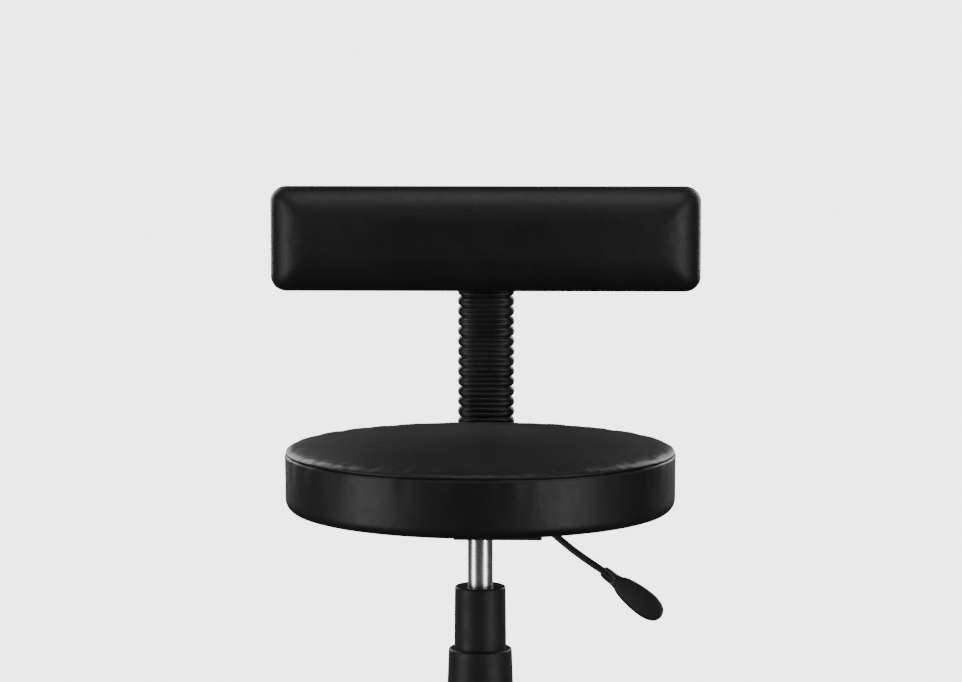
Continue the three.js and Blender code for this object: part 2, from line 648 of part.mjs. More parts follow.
/** Skins rounded outlines that stand upright, one for each [y, inset] pair. */
function uprightSlab(width, height, radius, middleZ, layers) {
  const rings = layers.map(([y, inset]) => {
    const outline = roundedOutline(width - 2 * inset, height - 2 * inset, radius - inset * 0.5, 3);
    return outline.map((point) => new THREE.Vector3(point.x, y, middleZ + point.y));
  });
  return loft(rings);
}

function backrest() {
  const cushion = uprightSlab(PAD_WIDTH, PAD_HEIGHT, 17, PAD_MIDDLE_Z, [
    [PAD_BACK, 5], [PAD_BACK - 6, 1], [PAD_BACK - 14, 0], [PAD_FRONT + 14, 0], [PAD_FRONT + 5, 4], [PAD_FRONT, 14],
  ]);
  const shellSlab = uprightSlab(PAD_WIDTH - 16, PAD_HEIGHT - 14, 14, PAD_MIDDLE_Z, [
    [PAD_BACK + GAP, 0], [SHELL_BACK - 3, 1], [SHELL_BACK, 5],
  ]);
  const screwHoles = [-1, 1].map((side) => {
    return rod([36 * side, SHELL_BACK - 6, PAD_MIDDLE_Z], [36 * side, SHELL_BACK + 1, PAD_MIDDLE_Z], 3.5, 12);
  });
  const heightKnob = piece('height_knob', knobSolid(9), 'blackPlastic');
  heightKnob.rotation.x = Math.PI / 2;
  heightKnob.position.set(0, BAR_Y + BAR_THICKNESS / 2 + GAP, HEIGHT_KNOB_Z);
  return [
    piece('back_bar', backBar(), 'blackSteel'),
    piece('bellows', bellowsSolid(), 'rubber'),
    piece('backrest_bracket', backrestBracket(), 'blackSteel'),
    piece('backrest_screw_left', backrestScrew(-1), 'blackSteel'),
    piece('backrest_screw_right', backrestScrew(1), 'blackSteel'),
    heightKnob,
    piece('backrest_shell', joinAndCut([shellSlab], screwHoles), 'blackPlastic'),
    piece('backrest_cushion', cushion, 'leather'),
  ];
}

// ---- The whole stool ----

const stool = group(
  piece('base_star', baseStar(), 'blackPlastic'),
  ...casters(),
  ...columnCovers(),
  ...gasLift(),
  ...mechanism(),
  lever(),
  piece('seat_board', seatBoard(), 'plywood'),
  piece('seat_cushion', seatCushion(), 'leather'),
  ...backrest(),
);
stool.position.y = COLUMN_Y;

export default stool;
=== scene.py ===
import math

import bmesh
import bpy
import numpy as np
from mathutils import Matrix, Vector, noise
from mathutils.bvhtree import BVHTree


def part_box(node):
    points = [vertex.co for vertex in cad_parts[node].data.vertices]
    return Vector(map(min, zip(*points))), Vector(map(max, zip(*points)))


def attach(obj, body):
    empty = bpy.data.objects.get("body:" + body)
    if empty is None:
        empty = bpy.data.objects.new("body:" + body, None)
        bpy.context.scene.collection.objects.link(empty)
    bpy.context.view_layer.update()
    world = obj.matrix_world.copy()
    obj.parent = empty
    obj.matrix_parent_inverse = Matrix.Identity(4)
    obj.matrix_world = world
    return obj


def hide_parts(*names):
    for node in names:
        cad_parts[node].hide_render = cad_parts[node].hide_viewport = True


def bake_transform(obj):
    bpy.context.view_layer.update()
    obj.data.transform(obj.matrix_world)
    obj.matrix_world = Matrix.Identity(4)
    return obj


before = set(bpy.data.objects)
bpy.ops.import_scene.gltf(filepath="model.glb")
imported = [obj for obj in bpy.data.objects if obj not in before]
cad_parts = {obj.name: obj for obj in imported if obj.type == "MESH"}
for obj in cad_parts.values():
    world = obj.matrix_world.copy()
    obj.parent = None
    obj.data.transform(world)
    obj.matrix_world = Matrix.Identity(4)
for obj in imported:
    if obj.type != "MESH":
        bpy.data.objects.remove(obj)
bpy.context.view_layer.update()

# The studio: a pale floor that fades into a white surround, one tall softbox on either side of the
# front, one overhead, two behind, and a long lens a little above the backrest, looking slightly down.
inner_low, inner_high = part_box("inner_tube")
column = Vector(((inner_low.x + inner_high.x) / 2, (inner_low.y + inner_high.y) / 2, 0))


def linked(data, name):
    thing = bpy.data.objects.new(name, data)
    bpy.context.scene.collection.objects.link(thing)
    return thing


camera_turn = math.radians(1.6)
camera_pitch = math.radians(5.6)
camera_reach = 3.166
camera_height = 0.8785
camera_trim = 0.00025
camera_data = bpy.data.cameras.new("camera")
camera_data.lens = 106.05
camera_data.sensor_width = 36
camera = linked(camera_data, "camera")
camera.location = column + Vector((
    camera_reach * math.sin(camera_turn), -camera_reach * math.cos(camera_turn), camera_height,
))
camera.rotation_euler = (math.pi / 2 - camera_pitch, 0, camera_turn - camera_trim)
bpy.context.scene.camera = camera


seat_level = 0.5


def softbox(name, bearing, height, reach, size, power):
    """A rectangular light, its bearing measured in degrees from the front, aimed at the seat."""
    data = bpy.data.lights.new(name, "AREA")
    data.shape = "RECTANGLE"
    data.size, data.size_y = size
    data.energy = power
    lamp = linked(data, name)
    angle = math.radians(bearing)
    lamp.location = column + Vector((reach * math.sin(angle), -reach * math.cos(angle), height))
    aim = column + Vector((0, 0, seat_level)) - lamp.location
    lamp.rotation_euler = aim.to_track_quat("-Z", "Y").to_euler()


tall_box, rear_box = (0.85, 3.2), (1.0, 1.8)
softbox("left softbox", -64, 0.45, 2.4, tall_box, 60)
softbox("right softbox", 50, 0.45, 2.4, tall_box, 60)
softbox("overhead softbox", 0, 2.8, 0.5, (1.6, 1.2), 30)
softbox("rear left softbox", -145, 1.2, 2.4, rear_box, 40)
softbox("rear right softbox", 145, 1.2, 2.4, rear_box, 40)

surround, fill_light = 4, 0.06
world = bpy.data.worlds.new("surround")
bpy.context.scene.world = world
world.use_nodes = True
background = world.node_tree.nodes["Background"]
background.inputs["Color"].default_value = (1, 1, 1, 1)
seen = world.node_tree.nodes.new("ShaderNodeLightPath")
level = world.node_tree.nodes.new("ShaderNodeMapRange")
level.inputs["To Min"].default_value = fill_light
level.inputs["To Max"].default_value = surround
world.node_tree.links.new(seen.outputs["Is Camera Ray"], level.inputs["Value"])
world.node_tree.links.new(level.outputs["Result"], background.inputs["Strength"])


fade_start, fade_end, near_glow = 0.35, 0.78, 0.3


def floor_finish():
    """Pale floor, matt with a slight glow near the stool, that fades to the surround's white further out."""
    finish = bpy.data.materials.new("pale floor")
    finish.use_nodes = True
    nodes, links = finish.node_tree.nodes, finish.node_tree.links
    nodes.clear()
    place = nodes.new("ShaderNodeTexCoord")
    far = nodes.new("ShaderNodeVectorMath")
    far.operation = "LENGTH"
    fade = nodes.new("ShaderNodeMapRange")
    fade.interpolation_type = "SMOOTHSTEP"
    fade.inputs["From Min"].default_value = fade_start
    fade.inputs["From Max"].default_value = fade_end
    fade.inputs["To Min"].default_value = near_glow
    matt = nodes.new("ShaderNodeBsdfDiffuse")
    matt.inputs["Color"].default_value = (0.8, 0.8, 0.8, 1)
    glow = nodes.new("ShaderNodeEmission")
    glow.inputs["Strength"].default_value = surround
    mix = nodes.new("ShaderNodeMixShader")
    out = nodes.new("ShaderNodeOutputMaterial")
    links.new(place.outputs["Object"], far.inputs[0])
    links.new(far.outputs["Value"], fade.inputs["Value"])
    links.new(fade.outputs["Result"], mix.inputs["Fac"])
    links.new(matt.outputs["BSDF"], mix.inputs[1])
    links.new(glow.outputs["Emission"], mix.inputs[2])
    links.new(mix.outputs["Shader"], out.inputs["Surface"])
    return finish


floor_mesh = bpy.data.meshes.new("floor")
floor_half = 12
floor_corners = [(x * floor_half, y * floor_half, 0) for x, y in ((-1, -1), (1, -1), (1, 1), (-1, 1))]
floor_mesh.from_pydata(floor_corners, [], [(0, 1, 2, 3)])
floor = linked(floor_mesh, "floor")
floor_mesh.materials.append(floor_finish())
# The side softboxes reach below the floor, so it is hidden from shadow, bounce and reflection rays.
floor.visible_glossy = False
floor.visible_diffuse = False
floor.visible_shadow = False


# The base is one glass-filled nylon moulding: a hub that takes the gas lift's taper and five arms
# that slim towards the caster sockets. Its surface is finely textured by the mould.
def new_finish(name, roughness, metallic=0.0):
    """A principled material with its Object coordinates ready to use."""
    finish = bpy.data.materials.new(name)
    finish.use_nodes = True
    surface = finish.node_tree.nodes["Principled BSDF"]
    surface.inputs["Roughness"].default_value = roughness
    surface.inputs["Metallic"].default_value = metallic
    surface.inputs["Specular IOR Level"].default_value = 0.5 if metallic else 0.2
    place = finish.node_tree.nodes.new("ShaderNodeTexCoord")
    return finish, finish.node_tree, surface, place.outputs["Object"]


def speckle(tree, place, scale, detail=4.0, distortion=0.0):
    """Noise with that many cells to a metre."""
    node = tree.nodes.new("ShaderNodeTexNoise")
    node.inputs["Scale"].default_value = scale
    node.inputs["Detail"].default_value = detail
    node.inputs["Distortion"].default_value = distortion
    tree.links.new(place, node.inputs["Vector"])
    return node.outputs["Fac"]


def spread(tree, value, low, high, start=0.3, end=0.7):
    """Maps the middle part of a noise value's range to a range of numbers."""
    node = tree.nodes.new("ShaderNodeMapRange")
    node.inputs["From Min"].default_value = start
    node.inputs["From Max"].default_value = end
    node.inputs["To Min"].default_value = low
    node.inputs["To Max"].default_value = high
    tree.links.new(value, node.inputs["Value"])
    return node.outputs["Result"]


def tinted(tree, surface, value, dark, light):
    """Colours the surface between a dark and a light colour."""
    node = tree.nodes.new("ShaderNodeMix")
    node.data_type = "RGBA"
    node.inputs["A"].default_value = (*dark, 1)
    node.inputs["B"].default_value = (*light, 1)
    tree.links.new(value, node.inputs["Factor"])
    tree.links.new(node.outputs["Result"], surface.inputs["Base Color"])


def sheened(tree, surface, value, smooth, rough):
    """Varies the surface's roughness between two limits."""
    tree.links.new(spread(tree, value, smooth, rough), surface.inputs["Roughness"])


def relief(tree, surface, height, depth, strength=1.0, under=None):
    """Raises the surface by a height value times a depth in metres, on top of an earlier relief."""
    node = tree.nodes.new("ShaderNodeBump")
    node.inputs["Strength"].default_value = strength
    node.inputs["Distance"].default_value = depth
    tree.links.new(height, node.inputs["Height"])
    if under is not None:
        tree.links.new(under, node.inputs["Normal"])
    tree.links.new(node.outputs["Normal"], surface.inputs["Normal"])
    return node.outputs["Normal"]


def moulded_finish(name, dark, light, roughness, grain=900.0, depth=0.00012):
    """Black plastic with the mould's fine texture, handling marks and a slightly uneven sheen."""
    finish, tree, surface, place = new_finish(name, roughness)
    tint = spread(tree, speckle(tree, place, 14, 6), 0, 1)
    tinted(tree, surface, tint, dark, light)
    sheened(tree, surface, speckle(tree, place, 45, 8, 0.6), roughness - 0.05, roughness + 0.07)
    broad = relief(tree, surface, speckle(tree, place, 60, 2), 0.00025, 0.3)
    relief(tree, surface, speckle(tree, place, grain, 3), depth, 0.7, broad)
    return finish


nylon = moulded_finish("textured black nylon", (0.012, 0.012, 0.013), (0.022, 0.022, 0.023), 0.46)


def mesh_from(vertices, faces, name, finish):
    """A smooth-shaded mesh object with outward faces."""
    mesh = bpy.data.meshes.new(name)
    mesh.from_pydata([tuple(v) for v in vertices], [], faces)
    mesh.materials.append(finish)
    work = bmesh.new()
    work.from_mesh(mesh)
    bmesh.ops.remove_doubles(work, verts=work.verts, dist=1e-6)
    bmesh.ops.recalc_face_normals(work, faces=work.faces)
    work.to_mesh(mesh)
    work.free()
    mesh.shade_smooth()
    return linked(mesh, name)


def skinned(rings, name, finish, closed=False):
    """Skins rings of points; the ends are capped, or joined if closed.

    One ring may have a whole number of times as many points as the next.
    """
    vertices = [point for ring in rings for point in ring]
    starts = np.cumsum([0] + [len(ring) for ring in rings])
    faces = []
    for span in range(len(rings) if closed else len(rings) - 1):
        after = (span + 1) % len(rings)
        near, far, flip = span, after, len(rings[span]) < len(rings[after])
        if flip:
            near, far = after, span
        ratio = len(rings[near]) // len(rings[far])
        for side in range(len(rings[far])):
            face = [starts[near] + (side * ratio + step) % len(rings[near]) for step in range(ratio + 1)]
            face += [starts[far] + (side + 1) % len(rings[far]), starts[far] + side]
            faces.append(tuple(int(corner) for corner in (reversed(face) if flip else face)))
    if not closed:
        faces.append(tuple(range(len(rings[0]) - 1, -1, -1)))
        faces.append(tuple(range(int(starts[-2]), int(starts[-1]))))
    return mesh_from(vertices, faces, name, finish)


def mark_creases(thing, angle=35.0):
    """Keeps edges that turn by more than the angle crisp."""
    work = bmesh.new()
    work.from_mesh(thing.data)
    for edge in work.edges:
        edge.smooth = len(edge.link_faces) < 2 or edge.calc_face_angle(0) < math.radians(angle)
    work.to_mesh(thing.data)
    work.free()


def settle(thing):
    """Turns what the modifiers make into the object's own mesh."""
    shown = thing.evaluated_get(bpy.context.evaluated_depsgraph_get())
    mesh = bpy.data.meshes.new_from_object(shown)
    thing.modifiers.clear()
    thing.data = mesh
    return thing


def gathered(things, name):
    """Puts several objects' meshes into one object."""
    work = bmesh.new()
    for thing in things:
        work.from_mesh(thing.data)
    mesh = things[0].data.copy()
    mesh.name = name
    work.to_mesh(mesh)
    work.free()
    for thing in things:
        bpy.data.objects.remove(thing)
    return linked(mesh, name)


def put(thing, body, slot, *nodes):
    """Fastens a finished piece to its body and hides the CAD nodes it stands for."""
    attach(thing, body)
    if nodes:
        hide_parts(*nodes)
    return thing


def oval(width, height, squareness, count):
    """A superellipse: 2 is an ellipse, larger is squarer."""
    points = []
    for step in range(count):
        angle = 2 * math.pi * (step + 0.5) / count
        cos, sin = math.cos(angle), math.sin(angle)
        x = math.copysign(abs(cos) ** (2 / squareness), cos) * width / 2
        y = math.copysign(abs(sin) ** (2 / squareness), sin) * height / 2
        points.append((x, y))
    return points


def along(table, where):
    """Reads a smooth table of [place, value, value, ...] rows at a place."""
    rows = np.array(table)
    share = np.interp(where, rows[:, 0], np.arange(len(rows)))
    first = min(int(share), len(rows) - 2)
    t = share - first
    before, here = rows[max(first - 1, 0)], rows[first]
    after, later = rows[first + 1], rows[min(first + 2, len(rows) - 1)]
    return 0.5 * (
        2 * here + (after - before) * t + (2 * before - 5 * here + 4 * after - later) * t ** 2
        + (3 * here - before - 3 * after + later) * t ** 3
    )


def turned_mesh(profile, name, finish, segments=96, centre=(0, 0, 0)):
    """Turns a profile of (radius, height) points about an upright axis.

    The profile starts and ends on the axis, or else it closes on itself.
    """
    rings = []
    for radius, height in profile:
        rings.append([
            (
                centre[0] + max(radius, 0) * math.cos(2 * math.pi * step / segments),
                centre[1] + max(radius, 0) * math.sin(2 * math.pi * step / segments),
                centre[2] + height,
            )
            for step in range(segments)
        ])
    return skinned(rings, name, finish, closed=profile[0][0] > 0)


def filleted(corners, steps=4):
    """Rounds the corners of an outline; each corner is (x, y) or (x, y, radius)."""
    outline = []
    count = len(corners)
    for index, corner in enumerate(corners):
        here = Vector(corner[:2])
        radius = corner[2] if len(corner) > 2 else 0
        if radius == 0:
            outline.append(tuple(here))
            continue
        back = Vector(corners[index - 1][:2]) - here
        ahead = Vector(corners[(index + 1) % count][:2]) - here
        half = back.angle(ahead) / 2
        trim = min(radius / math.tan(half), back.length * 0.49, ahead.length * 0.49)
        start, end = here + back.normalized() * trim, here + ahead.normalized() * trim
        for step in range(steps + 1):
            t = step / steps
            outline.append(tuple(start * (1 - t) ** 2 + here * 2 * t * (1 - t) + end * t ** 2))
    return outline


hub_low, hub_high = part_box("base_star")
hub = turned_mesh(filleted([
    (0, hub_low.z), (0.034, hub_low.z, 0.003), (0.0385, hub_low.z + 0.006, 0.003), (0.040, 0.104, 0.004),
    (0.0372, hub_high.z, 0.0025), (0, hub_high.z),
]), "base_hub", nylon, 96, column)
arm_table = [
    (0.012, 0.054, 0.068, 0.1155), (0.040, 0.050, 0.071, 0.1142), (0.090, 0.0425, 0.072, 0.110),
    (0.150, 0.0385, 0.0705, 0.1055), (0.215, 0.0355, 0.067, 0.100), (0.262, 0.034, 0.0642, 0.0962),
    (0.280, 0.0335, 0.064, 0.0955), (0.2885, 0.029, 0.064, 0.0948), (0.2945, 0.0195, 0.0645, 0.0935),
    (0.297, 0.008, 0.066, 0.0915),
]
arm_rings, arm_sides, arm_squareness = 58, 40, 4.2
base_pieces = [hub]
for arm in range(5):
    turn = Matrix.Rotation(math.radians(90 + 72 * arm), 4, "Z")
    rings = []
    for where in np.linspace(arm_table[0][0], arm_table[-1][0], arm_rings):
        _, width, low, high = along(arm_table, where)
        rings.append([
            column + turn @ Vector((where, x, (low + high) / 2 + y))
            for x, y in oval(width, high - low, arm_squareness, arm_sides)
        ])
    base_pieces.append(skinned(rings, f"arm_{arm}", nylon))
base = gathered(base_pieces, "base_moulding")
voxels = base.modifiers.new("one moulding", "REMESH")
voxels.mode = "VOXEL"
voxels.voxel_size = 0.0022
fillets = base.modifiers.new("mould radii", "SMOOTH")
fillets.factor = 0.5
fillets.iterations = 9
settle(base)
base.data.materials.clear()
base.data.materials.append(nylon)
base.data.shade_smooth()
put(base, "base", "black_nylon", "base_star")


# Each caster is a nylon hood on a steel stem, with two nylon wheels pressed on one axle.
# The wheels have a rounded tread with a shallow groove, and a dished outer face with a raised hub cap.
def refined(node, finish, bevel=0.0004, angle=35.0, segments=2):
    """A copy of a CAD piece with shared vertices, small bevels and smooth curved faces."""
    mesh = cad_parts[node].data.copy()
    work = bmesh.new()
    work.from_mesh(mesh)
    bmesh.ops.remove_doubles(work, verts=work.verts, dist=1e-5)
    flat = math.radians(1.0)
    bmesh.ops.dissolve_limit(work, angle_limit=flat, verts=work.verts, edges=work.edges)
    work.to_mesh(mesh)
    work.free()
    mesh.materials.clear()
    mesh.materials.append(finish)
    mesh.shade_smooth()
    thing = linked(mesh, f"{node}_finished")
    mark_creases(thing, angle)
    if bevel:
        edge = thing.modifiers.new("soft edges", "BEVEL")
        edge.width = bevel
        edge.segments = segments
        edge.limit_method = "ANGLE"
        edge.angle_limit = math.radians(angle)
    even = thing.modifiers.new("even shading", "WEIGHTED_NORMAL")
    even.keep_sharp = True
    even.weight = 90
    return thing


def centre_of(node):
    """The middle of a CAD piece's box."""
    low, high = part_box(node)
    return (low + high) / 2


wheel_radius = 0.025
wheel_width = 0.017
wheel_nylon = moulded_finish(
    "satin wheel nylon", (0.016, 0.016, 0.017), (0.03, 0.03, 0.031), 0.38, 1400, 0.00005,
)


def wheel_profile():
    """From the bore on the inner side, over the tread, to the hub cap in the middle of the outer side."""
    return filleted([
        (0, 0.013), (0.0034, 0.013), (0.0034, 0.0), (0.0075, 0.0, 0.0005), (0.009, 0.0012, 0.0005),
        (0.0195, 0.0012, 0.0005), (0.021, 0.0, 0.0005), (0.0228, 0.0, 0.002), (wheel_radius, 0.0026, 0.0022),
        (wheel_radius, 0.0078, 0.0003), (0.0243, 0.0082, 0.0003), (0.0243, 0.0088, 0.0003),
        (wheel_radius, 0.0092, 0.0003), (wheel_radius, 0.0144, 0.0022), (0.0226, wheel_width, 0.002),
        (0.0205, wheel_width, 0.0006), (0.0192, 0.0152, 0.0008), (0.0105, 0.0152, 0.0008),
        (0.0095, 0.0166, 0.0008), (0.003, 0.0169, 0.001), (0, 0.0169),
    ], 3)


for number in range(1, 6):
    caster = f"caster_{number}"
    axle = centre_of(f"{caster}_axle")
    for side in ("right", "left"):
        middle = centre_of(f"{caster}_wheel_{side}")
        outward = (middle - axle).normalized()
        wheel = turned_mesh(wheel_profile(), f"{caster}_wheel_{side}_finished", wheel_nylon, 72)
        facing = outward.to_track_quat("Z", "Y").to_matrix().to_4x4()
        wheel.data.transform(Matrix.Translation(middle - outward * wheel_width / 2) @ facing)
        put(wheel, f"{caster}_wheels", "wheel_nylon", f"{caster}_wheel_{side}")
    put(refined(f"{caster}_hood", nylon, 0.0006), caster, "black_nylon", f"{caster}_hood")


def coated_finish():
    """Black powder coat: orange-peel relief and a soft, slightly broken sheen."""
    finish, tree, surface, place = new_finish("black powder coat", 0.42)
    tint = spread(tree, speckle(tree, place, 25, 5), 0, 1)
    tinted(tree, surface, tint, (0.011, 0.011, 0.012), (0.02, 0.02, 0.021))
    sheened(tree, surface, speckle(tree, place, 70, 6), 0.36, 0.5)
    relief(tree, surface, speckle(tree, place, 650, 2), 0.0002, 0.6)
    return finish


powder_coat = coated_finish()
for number in range(1, 6):
    for part in ("stem", "axle"):
        node = f"caster_{number}_{part}"
        body = f"caster_{number}" if part == "stem" else f"caster_{number}_wheels"
        put(refined(node, powder_coat, 0.0003), body, "black_steel", node)


# The column cover is three telescoping sleeves of matt black plastic. Each has a rounded shoulder
# with a fine lip round its hole, and rests on the one below.
cover_plastic = moulded_finish(
    "matt cover plastic", (0.007, 0.007, 0.0075), (0.012, 0.012, 0.0125), 0.51, 1100, 0.00006,
)


def cover_sleeve(node, foot_radius, top_radius, hole_radius, shoulder):
    """One tapered sleeve, open below, between the levels of its CAD piece."""
    low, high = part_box(node)
    wall = 0.0022
    profile = filleted([
        (foot_radius, low.z, 0.0006), (top_radius, high.z, shoulder), (hole_radius, high.z, 0.0007),
        (hole_radius, high.z - wall, 0.0004), (top_radius - wall, high.z - wall, 0.0015),
        (foot_radius - wall, low.z, 0.0004),
    ], 6)
    sleeve = turned_mesh(profile, f"{node}_finished", cover_plastic, 128, column)
    put(sleeve, "base", "black_plastic", node)


cover_sleeve("cover_bottom", 0.046, 0.0436, 0.0392, 0.0045)
cover_sleeve("cover_middle", 0.0386, 0.0358, 0.0298, 0.0042)
cover_sleeve("cover_top", 0.0295, 0.0288, 0.0147, 0.0028)


# The gas lift: a black outer tube in the hub, and a ground and polished 28 mm inner tube that rises
# with the seat. The ground tube has hair-fine rings round it and a faint film of grease.
def ground_finish(name, low_rough, high_rough):
    """Bare steel with hair-fine rings round it and an uneven film."""
    finish, tree, surface, place = new_finish(name, low_rough, 1.0)
    stretch = tree.nodes.new("ShaderNodeMapping")
    stretch.inputs["Scale"].default_value = (1, 1, 260)
    tree.links.new(place, stretch.inputs["Vector"])
    rings = speckle(tree, stretch.outputs["Vector"], 9, 5)
    film = speckle(tree, place, 22, 6, 0.4)
    tinted(tree, surface, spread(tree, film, 0, 1), (0.60, 0.59, 0.56), (0.74, 0.73, 0.71))
    sheened(tree, surface, film, low_rough, high_rough)
    relief(tree, surface, rings, 0.00002, 0.35)
    return finish


ground_steel = ground_finish("ground and polished steel", 0.23, 0.31)
for node, body in (
    ("inner_tube", "seat"), ("piston_rod", "spindle"), ("thrust_bearing", "base"),
    ("retaining_clip", "spindle"), ("lever_pivot_pin", "seat"),
):
    put(refined(node, ground_steel, 0.0004), body, "polished_steel", node)
for node, body in (("guide_bush", "base"), ("rod_gland", "seat"), ("release_button", "release_button")):
    put(refined(node, cover_plastic, 0.0003), body, "black_plastic", node)
put(refined("outer_tube", powder_coat, 0.0006), "base", "black_steel", "outer_tube")


# The mechanism: a pressed steel housing and plate under the seat, four bolts into the seat board,
# and a welded sleeve for the back bar with a clamping knob under it. All steel is powder coated.
knob_plastic = moulded_finish(
    "moulded knob plastic", (0.011, 0.011, 0.012), (0.02, 0.02, 0.021), 0.4, 1000, 0.00007,
)
for node in ("mechanism_housing", "mounting_plate", "bar_bracket", *(f"seat_bolt_{n}" for n in range(1, 5))):
    put(refined(node, powder_coat, 0.0005), "seat", "black_steel", node)
put(refined("depth_knob", knob_plastic, 0.0012, 40, 3), "depth_knob", "black_plastic", "depth_knob")

# The release lever: a bent round rod, powder coated, pressed into an open-faced socket at the head of
# a flat moulded paddle shaped like a drop. A fine mould line follows the paddle's edge.
sweep = math.radians(-19)
rod_radius, slot_thinning = 0.0039, 0.0005
paddle_start, paddle_end = Vector((0.146, 0.316)), Vector((0.214, 0.269))


def under_seat(reach, height, sideways=0.0):
    """A point in the lever's own upright plane, which is swept towards the front."""
    return column + Matrix.Rotation(sweep, 4, "Z") @ Vector((reach, sideways, height))


def paddle_point(share, above, sideways):
    """A point at a share of the paddle's length, above or below its middle line and to one side of it."""
    run = paddle_end - paddle_start
    normal = Vector((-run.y, run.x)).normalized() * above
    spot = paddle_start + run * share + normal
    return under_seat(spot.x, spot.y, sideways)


rod_route = [
    (-0.005, 0.3702), (0.008, 0.3696), (0.022, 0.3685), (0.058, 0.365), (0.070, 0.3626), (0.084, 0.3564),
    (0.098, 0.3465), (0.112, 0.3365), (0.128, 0.3265),
]
rod_route += [tuple(paddle_start + (paddle_end - paddle_start) * share) for share in (0.02, 0.24)]
numbered_route = [(number, *spot) for number, spot in enumerate(rod_route)]
route = [along(numbered_route, step)[1:] for step in np.linspace(0, len(rod_route) - 1, 90)]
rod_rings = []
for index, spot in enumerate(route):
    ahead = np.array(route[min(index + 1, len(route) - 1)]) - np.array(route[max(index - 1, 0)])
    ahead /= np.linalg.norm(ahead)
    radius = np.interp(spot[0], (0.01, 0.05), (rod_radius - slot_thinning, rod_radius))
    ring = []
    for step in range(24):
        angle = 2 * math.pi * step / 24
        up, side = radius * math.cos(angle), radius * math.sin(angle)
        ring.append(under_seat(spot[0] - ahead[1] * up, spot[1] + ahead[0] * up, side))
    rod_rings.append(ring)
lever_rod = skinned(rod_rings, "lever_rod_bent", powder_coat)
mark_creases(lever_rod, 50)
pivot_reach, pivot_height = rod_route[2]
eye = []
for sideways, radius in ((-0.0075, 0.0043), (-0.0069, 0.0048), (0.0069, 0.0048), (0.0075, 0.0043)):
    eye.append([
        under_seat(pivot_reach + radius * math.cos(a), pivot_height + radius * math.sin(a), sideways)
        for a in np.linspace(0, 2 * math.pi, 33)[:-1]
    ])
lever_eye = skinned(eye, "lever_eye", powder_coat)
mark_creases(lever_eye, 50)
put(lever_rod, "lever", "black_steel", "lever_rod")
put(lever_eye, "lever", "black_steel")

paddle_table = [
    (0.0, 0.0054, 0.0058), (0.05, 0.0064, 0.0062), (0.12, 0.0067, 0.0063), (0.2, 0.0070, 0.0062),
    (0.25, 0.0080, 0.0061), (0.3, 0.0100, 0.0059), (0.36, 0.0118, 0.0057), (0.45, 0.0134, 0.0055),
    (0.58, 0.0147, 0.0052), (0.7, 0.0150, 0.0050), (0.8, 0.0144, 0.0047), (0.9, 0.0120, 0.0041),
    (0.96, 0.0087, 0.0033), (0.99, 0.0048, 0.0022), (1.0, 0.0012, 0.001),
]
paddle_sides = 64
joint_share, joint_width, joint_depth = 0.27, 0.004, 0.0005
line_share, line_width, line_depth = 0.8, 0.035, 0.00035
socket_end, socket_half, socket_depth = 0.21, 0.0056, 0.0062
paddle_shares = sorted({
    *np.linspace(0, 0.9, 60).round(4), *np.linspace(0.9, 1, 14).round(4),
    0.262, 0.267, joint_share, 0.273, 0.278,
})
paddle_rings = []
for share in paddle_shares:
    _, half_width, half_thickness = along(paddle_table, share)
    joint_line = joint_depth * math.exp(-((share - joint_share) / joint_width) ** 2)
    ring = []
    for x, y in oval(2 * (half_width - joint_line), 2 * (half_thickness - joint_line), 2.6, paddle_sides):
        edge = abs(x) / half_width
        if share > 0.3:
            y -= math.copysign(line_depth * math.exp(-((edge - line_share) / line_width) ** 2), y)
        if y < 0:
            open_share = max(0, 1 - share / socket_end) ** 0.5
            y += open_share * socket_depth * max(0, 1 - abs(x) / socket_half)
        ring.append(paddle_point(share, x, y))
    paddle_rings.append(ring)
paddle = skinned(paddle_rings, "lever_paddle_moulded", knob_plastic)
put(paddle, "lever", "black_plastic", "lever_paddle")


# The seat board: a disc of birch plywood, its edge eased, that the bolts hold to the mounting plate.
# It sits in a recess in the underside of the cushion.
def plywood_finish():
    """Sanded birch, its figure drawn out along one direction."""
    finish, tree, surface, place = new_finish("birch plywood", 0.6)
    stretch = tree.nodes.new("ShaderNodeMapping")
    stretch.inputs["Scale"].default_value = (1, 9, 1)
    tree.links.new(place, stretch.inputs["Vector"])
    figure = speckle(tree, stretch.outputs["Vector"], 16, 8, 1.2)
    tinted(tree, surface, spread(tree, figure, 0, 1), (0.36, 0.21, 0.1), (0.58, 0.4, 0.22))
    relief(tree, surface, figure, 0.0002, 0.4)
    return finish


put(refined("seat_board", plywood_finish(), 0.0008), "seat", "plywood", "seat_board")


